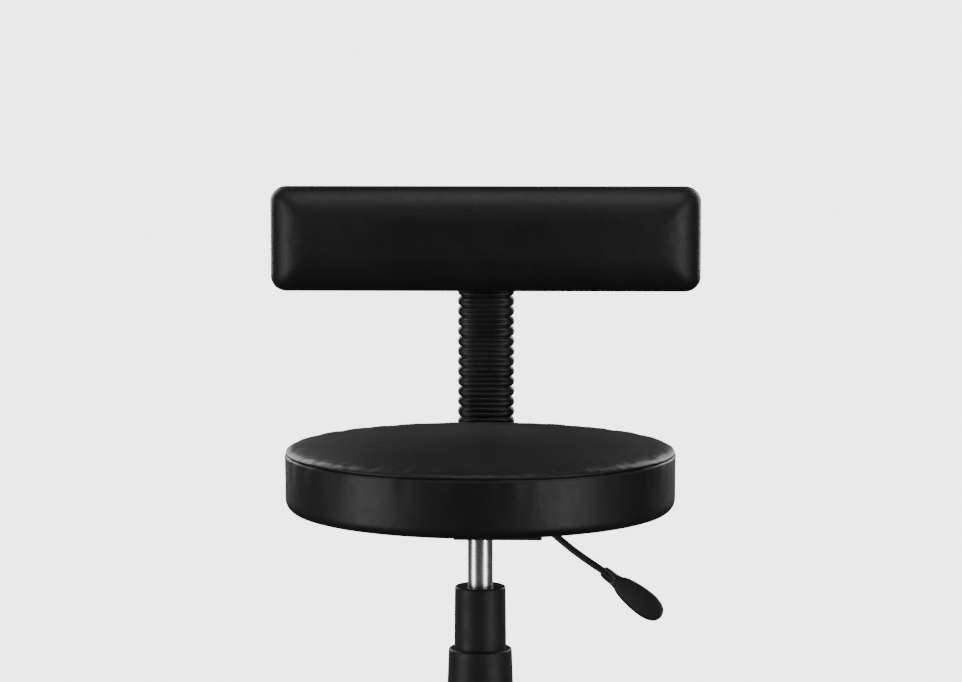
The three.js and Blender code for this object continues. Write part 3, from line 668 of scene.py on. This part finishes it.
# The seat cushion: moulded foam on the board under black leather. A round top panel meets a boxed band
# at a turned seam; both sides of the seam are stitched down, and the band is stapled under the board.
def leather_finish():
    """Fine-grained black leather: cells of grain, small creases and a soft uneven sheen."""
    finish, tree, surface, place = new_finish("black leather", 0.44)
    cells = tree.nodes.new("ShaderNodeTexVoronoi")
    cells.feature = "DISTANCE_TO_EDGE"
    cells.inputs["Scale"].default_value = 620
    warp = tree.nodes.new("ShaderNodeTexNoise")
    warp.inputs["Scale"].default_value = 300
    shift = tree.nodes.new("ShaderNodeMix")
    shift.data_type = "VECTOR"
    shift.inputs["Factor"].default_value = 0.0012
    tree.links.new(place, warp.inputs["Vector"])
    tree.links.new(place, shift.inputs["A"])
    tree.links.new(warp.outputs["Color"], shift.inputs["B"])
    tree.links.new(shift.outputs["Result"], cells.inputs["Vector"])
    tint = spread(tree, speckle(tree, place, 9, 7), 0, 1)
    tinted(tree, surface, tint, (0.005, 0.005, 0.0053), (0.010, 0.010, 0.0104))
    sheened(tree, surface, speckle(tree, place, 70, 8, 0.8), 0.42, 0.49)
    creases = relief(tree, surface, speckle(tree, place, 90, 6, 1.5), 0.0004, 0.3)
    relief(tree, surface, cells.outputs["Distance"], 0.0002, 0.5, creases)
    return finish


leather = leather_finish()


def puff(thing, held, pressure, cap, stiffness=18.0):
    """Blows the leather out with cloth simulation; held points stay, and none moves much past the cap."""
    scene = bpy.context.scene
    group = thing.vertex_groups.new(name="held")
    group.add([int(index) for index in held], 1.0, "REPLACE")
    start = np.array([v.co for v in thing.data.vertices])
    cloth = thing.modifiers.new("cloth", "CLOTH")
    cloth.settings.vertex_group_mass = "held"
    cloth.settings.use_pressure = True
    cloth.settings.uniform_pressure_force = pressure
    cloth.settings.tension_stiffness = stiffness
    cloth.settings.compression_stiffness = stiffness
    cloth.settings.bending_stiffness = 1.2
    cloth.settings.quality = 6
    cloth.settings.effector_weights.gravity = 0
    cloth.collision_settings.use_collision = False
    last = 20
    cloth.point_cache.frame_start = 1
    cloth.point_cache.frame_end = last
    for moment in range(1, last + 1):
        scene.frame_set(moment)
    shown = thing.evaluated_get(bpy.context.evaluated_depsgraph_get())
    moved = np.array([v.co for v in shown.data.vertices]) - start
    thing.modifiers.remove(cloth)
    thing.vertex_groups.clear()
    scene.frame_set(1)
    size = np.linalg.norm(moved, axis=1, keepdims=True)
    moved *= np.where(size > 1e-9, cap * np.tanh(size / cap) / np.maximum(size, 1e-9), 0)
    for vertex, place in zip(thing.data.vertices, start + moved):
        vertex.co = place


def smoothed(thing, levels=1):
    """Adds a subdivision that looks the same in the view and the render."""
    finer = thing.modifiers.new("smooth", "SUBSURF")
    finer.levels = finer.render_levels = levels
    return thing


seat_low, seat_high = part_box("seat_cushion")
seat_radius = (seat_high.x - seat_low.x) / 2
seam_z = seat_low.z + 0.0648
board_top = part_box("seat_board")[1].z + 0.0004
seat_segments = 360


def seat_ring(radius, height):
    """A level ring round the column, with fewer points near the middle."""
    sparser = 1 if radius > 0.04 else 5 if radius > 0.012 else 30
    count = seat_segments // sparser
    return [
        (
            column.x + radius * math.cos(2 * math.pi * step / count),
            column.y + radius * math.sin(2 * math.pi * step / count),
            height,
        )
        for step in range(count)
    ]


def arc_points(centre, radius, start, end, steps):
    """Points on an arc of an ellipse, its angles in degrees."""
    return [
        (centre[0] + radius[0] * math.cos(math.radians(a)), centre[1] + radius[1] * math.sin(math.radians(a)))
        for a in np.linspace(start, end, steps)
    ]


crown_rise = 0.0078
shoulder_radius = seat_radius - 0.0085
crown = [
    (radius, seat_high.z - 0.0022 - crown_rise * (radius / shoulder_radius) ** 2.2)
    for radius in (0.006, 0.016, 0.03, *np.linspace(0.046, shoulder_radius - 0.004, 30))
]
shoulder_z = crown[-1][1]
lining_z = board_top + 0.02
top_profile = [
    (0.006, lining_z), (0.03, lining_z), (0.19, lining_z), (0.205, seam_z - 0.006),
    (seat_radius - 0.006, seam_z - 0.003),
    *arc_points((seat_radius - 0.0035, seam_z + 0.0012), (0.0014, 0.0016), -80, -5, 3),
    *arc_points((seat_radius - 0.0105, seam_z + 0.0010), (0.0092, shoulder_z - seam_z - 0.0004), 8, 76, 9),
    *reversed(crown),
]
top_panel = skinned([seat_ring(*spot) for spot in top_profile], "seat_top_leather", leather)
underside = {
    v.index for v in top_panel.data.vertices
    if v.co.z < seam_z + 0.0012 or (v.co - column).xy.length < 0.008 and v.co.z < seam_z
}
puff(top_panel, underside, 1.5, 0.0014)

band_profile = [
    (0.2012, seat_low.z + 0.0004), (0.2035, seat_low.z),
    *arc_points((seat_radius - 0.0155, seat_low.z + 0.0142), (0.014, 0.0142), -88, 0, 9),
    *[(seat_radius - 0.0015, seat_low.z + z) for z in (0.02, 0.026, 0.032, 0.038, 0.044, 0.05, 0.055, 0.059)],
    *arc_points((seat_radius - 0.0036, seam_z - 0.0031), (0.0021, 0.0027), 0, 84, 4),
    (seat_radius - 0.007, seam_z - 0.0012), (0.2035, seam_z - 0.004), (0.2012, board_top + 0.006),
]
band = skinned([seat_ring(*spot) for spot in band_profile], "seat_band_leather", leather, closed=True)
fixed = {
    v.index for v in band.data.vertices
    if v.co.z < seat_low.z + 0.0015 or v.co.z > seam_z - 0.0035 or (v.co - column).xy.length < 0.204
}
puff(band, fixed, 1.5, 0.0012)


def pucker(thing, seam_height, reach, depth, waves):
    """Draws the leather in a little between the stitches, less with distance from the seam."""
    for vertex in thing.data.vertices:
        spoke = vertex.co - column
        away = abs(vertex.co.z - seam_height) + max(0, seat_radius - 0.012 - spoke.xy.length)
        if spoke.xy.length < 0.15 or away > 4 * reach:
            continue
        bearing = math.atan2(spoke.y, spoke.x)
        ripple = noise.noise(Vector((waves * math.cos(bearing), waves * math.sin(bearing), vertex.co.z * 12)))
        out = Vector((math.cos(bearing), math.sin(bearing), 0.4)).normalized()
        vertex.co += out * ripple * depth * math.exp(-((away / reach) ** 2))


pucker(top_panel, seam_z + 0.004, 0.009, 0.0007, 16)
pucker(band, seam_z - 0.006, 0.018, 0.0009, 13)
for cover, nodes in ((top_panel, ("seat_cushion",)), (band, ())):
    smoothed(cover)
    put(cover, "seat", "black_leather", *nodes)


def thread_finish():
    """Waxed black thread, twisted."""
    finish, tree, surface, place = new_finish("waxed black thread", 0.5)
    twist = speckle(tree, place, 1500, 2)
    tinted(tree, surface, twist, (0.008, 0.008, 0.008), (0.026, 0.026, 0.026))
    relief(tree, surface, twist, 0.0001, 0.8)
    return finish


thread = thread_finish()


def stitch_tree():
    """Lays a short thread on the surface at each step along the path's points and turns it with the path."""
    tree = bpy.data.node_groups.new("row of stitches", "GeometryNodeTree")
    for name, kind in (
        ("Path", "NodeSocketGeometry"), ("Pitch", "NodeSocketFloat"), ("Length", "NodeSocketFloat"),
        ("Thickness", "NodeSocketFloat"), ("Thread", "NodeSocketMaterial"),
    ):
        tree.interface.new_socket(name, in_out="INPUT", socket_type=kind)
    tree.interface.new_socket("Stitches", in_out="OUTPUT", socket_type="NodeSocketGeometry")
    nodes, links = tree.nodes, tree.links
    given, made = nodes.new("NodeGroupInput"), nodes.new("NodeGroupOutput")
    curve = nodes.new("GeometryNodeMeshToCurve")
    spaced = nodes.new("GeometryNodeResampleCurve")
    spaced.mode = "LENGTH"
    tangent = nodes.new("GeometryNodeInputTangent")
    turn = nodes.new("FunctionNodeAlignRotationToVector")
    turn.axis = "Z"
    bead = nodes.new("GeometryNodeMeshUVSphere")
    bead.inputs["Segments"].default_value = 8
    bead.inputs["Rings"].default_value = 6
    bead.inputs["Radius"].default_value = 0.5
    stretch = nodes.new("ShaderNodeCombineXYZ")
    laid = nodes.new("GeometryNodeInstanceOnPoints")
    real = nodes.new("GeometryNodeRealizeInstances")
    painted = nodes.new("GeometryNodeSetMaterial")
    links.new(given.outputs["Path"], curve.inputs["Mesh"])
    links.new(curve.outputs["Curve"], spaced.inputs["Curve"])
    links.new(given.outputs["Pitch"], spaced.inputs["Length"])
    links.new(spaced.outputs["Curve"], laid.inputs["Points"])
    links.new(bead.outputs["Mesh"], laid.inputs["Instance"])
    links.new(tangent.outputs["Tangent"], turn.inputs["Vector"])
    links.new(turn.outputs["Rotation"], laid.inputs["Rotation"])
    links.new(given.outputs["Thickness"], stretch.inputs["X"])
    links.new(given.outputs["Thickness"], stretch.inputs["Y"])
    links.new(given.outputs["Length"], stretch.inputs["Z"])
    links.new(stretch.outputs["Vector"], laid.inputs["Scale"])
    links.new(laid.outputs["Instances"], real.inputs["Geometry"])
    links.new(real.outputs["Geometry"], painted.inputs["Geometry"])
    links.new(given.outputs["Thread"], painted.inputs["Material"])
    links.new(painted.outputs["Geometry"], made.inputs["Stitches"])
    return tree


stitches = stitch_tree()


def stitched(name, path, pitch, length, thickness, body):
    """A row of stitches along a closed path of points."""
    mesh = bpy.data.meshes.new(name)
    mesh.from_pydata([tuple(p) for p in path], [(i, (i + 1) % len(path)) for i in range(len(path))], [])
    row = linked(mesh, name)
    sewing = row.modifiers.new("sewing", "NODES")
    sewing.node_group = stitches
    sockets = {item.name: item.identifier for item in stitches.interface.items_tree if item.in_out == "INPUT"}
    sewing[sockets["Pitch"]] = pitch
    sewing[sockets["Length"]] = length
    sewing[sockets["Thickness"]] = thickness
    sewing[sockets["Thread"]] = thread
    settle(row)
    row.data.shade_smooth()
    return put(row, body, "black_leather")


ring_steps = 720


def surface_ring(thing, height=None, radius=None, lift=0.0):
    """Points on a round panel at one height or radius, found by a ray, for thread to lie on."""
    shown = BVHTree.FromObject(thing, bpy.context.evaluated_depsgraph_get())
    points = []
    for step in range(ring_steps):
        bearing = 2 * math.pi * step / ring_steps
        spoke = Vector((math.cos(bearing), math.sin(bearing), 0))
        if height is not None:
            start, aim = column + spoke * 0.3 + Vector((0, 0, height)), -spoke
        else:
            start, aim = column + spoke * radius + Vector((0, 0, seat_high.z + 0.05)), Vector((0, 0, -1))
        place, normal, _, _ = shown.ray_cast(start, aim)
        if place:
            points.append(place + normal * lift)
    return points


stitch_pitch, thread_thickness = 0.0050, 0.0012
top_line = surface_ring(top_panel, radius=seat_radius - 0.0125, lift=-0.0002)
band_line = surface_ring(band, height=seam_z - 0.0030, lift=0.0001)
stitched("seat_top_stitching", top_line, stitch_pitch, 0.0038, thread_thickness, "seat")
stitched("seat_band_stitching", band_line, stitch_pitch, 0.0037, thread_thickness, "seat")


# The back bar: flat powder-coated steel with one bend. The backrest's bracket slides on it, held by
# a knob, and two screws fasten the bracket to the backrest's shell.
put(refined("back_bar", powder_coat, 0.0012, 35, 3), "back_bar", "black_steel", "back_bar")
for node in ("backrest_bracket", "backrest_screw_left", "backrest_screw_right"):
    put(refined(node, powder_coat, 0.0006), "backrest", "black_steel", node)
put(refined("height_knob", knob_plastic, 0.0012, 40, 3), "height_knob", "black_plastic", "height_knob")


# The bellows: moulded black rubber round the back bar, with rounded ribs that are slightly uneven.
# It reaches from the bar below to the backrest above.
def rubber_finish():
    """Moulded rubber: an uneven sheen over a fine, open texture."""
    finish, tree, surface, place = new_finish("moulded black rubber", 0.4)
    tint = spread(tree, speckle(tree, place, 30, 6), 0, 1)
    tinted(tree, surface, tint, (0.007, 0.007, 0.0075), (0.016, 0.016, 0.016))
    sheened(tree, surface, speckle(tree, place, 80, 7, 0.5), 0.33, 0.47)
    relief(tree, surface, speckle(tree, place, 500, 4), 0.00012, 0.5)
    return finish


rubber = rubber_finish()
bellows_low, bellows_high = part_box("bellows")
bellows_middle = (bellows_low + bellows_high) / 2
bellows_width, bellows_depth = bellows_high.x - bellows_low.x, bellows_high.y - bellows_low.y
rib_count, rib_depth = 19, 0.0038
rib_pitch = (bellows_high.z - bellows_low.z) / rib_count
rib_steps = 16
fold_share = 0.7
rubber_wall = 0.0022


def bellows_ring(inset, height, tilt, fold=0.0):
    """One ring; the long faces are folded twice as finely, and less deeply, than the rounded ends."""
    ring = []
    for x, y in oval(bellows_width, bellows_depth, 2.15, 96):
        end = abs(2 * x / bellows_width) ** 3
        size = Vector((x, y)).length
        shrink = 1 - (inset * end + fold * (1 - end)) / size
        lift = tilt[0] * x / bellows_width + tilt[1] * y / bellows_depth
        ring.append((bellows_middle.x + x * shrink, bellows_middle.y + y * shrink, height + lift))
    return ring


def scallop(phase):
    """Round ridges that meet in narrow valleys: 0 on a ridge, 1 in a valley."""
    across_rib = 2 * (phase % 1) - 1
    return (1 - math.sqrt(max(0, 1 - 0.97 * across_rib ** 2))) / (1 - math.sqrt(0.03))


outer_rings = []
for step in range(rib_count * rib_steps + 1):
    phase = step / rib_steps
    height = bellows_low.z + phase * rib_pitch
    ends = min(1, phase / 0.8, (rib_count - phase) / 0.8)
    lean = [0.0016 * ends * noise.noise(Vector((phase * 0.9, seed, 0))) for seed in (3.1, 7.7)]
    uneven = 1 + 0.15 * noise.noise(Vector((phase * 0.7, 1.3, 5)))
    groove, fold = rib_depth * uneven * scallop(phase), rib_depth * fold_share * uneven * scallop(2 * phase)
    outer_rings.append(bellows_ring(groove, height, lean, fold))
inner_inset = rib_depth + rubber_wall
inner_rings = [
    bellows_ring(inner_inset, height, (0, 0), inner_inset)
    for height in np.linspace(bellows_high.z, bellows_low.z, 12)
]
bellows = skinned(outer_rings + inner_rings, "bellows_moulded", rubber, closed=True)
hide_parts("bellows")
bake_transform(bellows)


# The backrest: a moulded plastic shell with a leather cushion on its front. The front panel is sewn to a
# boxed side all round, with a thin welt in the seam, and the foam crowns it between the seams.
put(refined("backrest_shell", cover_plastic, 0.0012, 35, 3), "backrest", "black_plastic", "backrest_shell")
pad_low, pad_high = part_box("backrest_cushion")
pad_middle = (pad_low + pad_high) / 2
pad_half = Vector(((pad_high.x - pad_low.x) / 2, 0, (pad_high.z - pad_low.z) / 2))
pad_corner = 0.019
edge_run, edge_rise = 0.046, 0.030
arc_steps, long_steps, short_steps = 7, 136, 30
across, up = long_steps + 2 * arc_steps, short_steps + 2 * arc_steps
seam_y = pad_low.y + edge_rise + 0.001


def pad_edge(inset, y):
    """The pad's round-cornered outline, anticlockwise from the middle of the lower left corner."""
    half_x, half_z, radius = pad_half.x - inset, pad_half.z - inset, pad_corner - inset
    spots = []
    for side, steps in enumerate((long_steps, short_steps, long_steps, short_steps)):
        sign_x, sign_z = ((-1, -1), (1, -1), (1, 1), (-1, 1))[side]
        middle = Vector((sign_x * (half_x - radius), sign_z * (half_z - radius)))
        next_x, next_z = ((1, -1), (1, 1), (-1, 1), (-1, -1))[side]
        next_middle = Vector((next_x * (half_x - radius), next_z * (half_z - radius)))
        out = math.radians(270 + 90 * side)
        for step in range(arc_steps):
            angle = out - math.pi / 4 * (1 - step / arc_steps)
            spots.append(middle + radius * Vector((math.cos(angle), math.sin(angle))))
        flat = radius * Vector((math.cos(out), math.sin(out)))
        for step in range(steps):
            spots.append((middle + flat).lerp(next_middle + flat, step / steps))
        for step in range(arc_steps):
            angle = out + math.pi / 4 * step / arc_steps
            spots.append(next_middle + radius * Vector((math.cos(angle), math.sin(angle))))
    return [Vector((pad_middle.x + spot.x, y, pad_middle.z + spot.y)) for spot in spots]


def inside(x, z):
    """Distance of a point on the panel from the panel's round-cornered edge."""
    dx = abs(x) - (pad_half.x - pad_corner)
    dz = abs(z) - (pad_half.z - pad_corner)
    return pad_corner - math.hypot(max(dx, 0), max(dz, 0)) - min(max(dx, dz), 0)


def crowned(x, z):
    """Where the foam's front lies: level in the middle and rolled over on all four sides."""
    away = [max(0, 1 - (half - abs(spot)) / edge_run) for half, spot in ((pad_half.x, x), (pad_half.z, z))]
    corner = max(0, 1 - inside(x, z) / edge_run)
    side = min(1, max((away[0] ** 5 + away[1] ** 5) ** 0.2, corner))
    return seam_y - edge_rise * (1 - side ** 2.3) ** 0.62


def sheet(vertices, faces, ring, ids, height):
    """Fills an outline with a grid of faces between its four sides."""
    bottom, right = ring[:across + 1], ring[across:across + up + 1]
    top, left = ring[across + up:2 * across + up + 1][::-1], (ring[2 * across + up:] + ring[:1])[::-1]
    grid = {}
    for step in range(across + 1):
        grid[0, step] = ids[step]
        grid[up, across - step] = ids[across + up + step]
    for row in range(up + 1):
        grid[row, across] = ids[across + row]
        grid[up - row, 0] = ids[(2 * across + up + row) % len(ids)]
    for row in range(1, up):
        v = row / up
        for step in range(1, across):
            u = step / across
            spot = bottom[step] * (1 - v) + top[step] * v + left[row] * (1 - u) + right[row] * u
            spot -= (bottom[0] * (1 - u) + bottom[-1] * u) * (1 - v) + (top[0] * (1 - u) + top[-1] * u) * v
            grid[row, step] = len(vertices)
            vertices.append((spot.x, height(spot.x - pad_middle.x, spot.z - pad_middle.z), spot.z))
    for row in range(up):
        for step in range(across):
            faces.append((grid[row, step], grid[row, step + 1], grid[row + 1, step + 1], grid[row + 1, step]))


def cushion_cover(name, edges, front, back):
    """A closed leather skin: outlines joined in order, with a sheet over the first and the last."""
    vertices, faces = [], []
    count = len(edges[0])
    for ring in edges:
        vertices += [tuple(spot) for spot in ring]
    for span in range(len(edges) - 1):
        for side in range(count):
            after = (side + 1) % count
            near, far = span * count, (span + 1) * count
            faces.append((near + side, near + after, far + after, far + side))
    last = (len(edges) - 1) * count
    sheet(vertices, faces, edges[0], range(count), front)
    sheet(vertices, faces, edges[-1], range(last, last + count), back)
    return mesh_from(vertices, faces, name, leather)


tuck_y, lip_y = seam_y + 0.0022, seam_y + 0.0028
front_panel = cushion_cover("backrest_front_leather", [
    pad_edge(0, seam_y), pad_edge(0.0012, seam_y + 0.001), pad_edge(0.004, tuck_y),
], crowned, lambda x, z: tuck_y)
held = {v.index for v in front_panel.data.vertices if v.co.y > seam_y - 0.004}
puff(front_panel, held, 1.2, 0.0012)
boxing = cushion_cover("backrest_boxing_leather", [
    pad_edge(0.006, lip_y), pad_edge(0.0024, seam_y + 0.0024), pad_edge(0.0006, seam_y + 0.0036),
    pad_edge(0, seam_y + 0.006), pad_edge(0.0006, pad_high.y - 0.003), pad_edge(0.003, pad_high.y - 0.0004),
    pad_edge(0.012, pad_high.y),
], lambda x, z: lip_y, lambda x, z: pad_high.y)
for cover, nodes in ((front_panel, ("backrest_cushion",)), (boxing, ())):
    smoothed(cover)
    put(cover, "backrest", "black_leather", *nodes)

welt_radius = 0.0011
welt_path = pad_edge(0.0012, tuck_y)
welt_rings = []
for count, point in enumerate(welt_path):
    ahead = (welt_path[(count + 1) % len(welt_path)] - welt_path[count - 1]).normalized()
    outward = Vector((ahead.z, 0, -ahead.x))
    welt_rings.append([
        point + welt_radius * (outward * math.cos(a) + Vector((0, 1, 0)) * math.sin(a))
        for a in np.linspace(0, 2 * math.pi, 9)[:-1]
    ])
welt = skinned(welt_rings, "backrest_welt", leather, closed=True)
put(welt, "backrest", "black_leather")
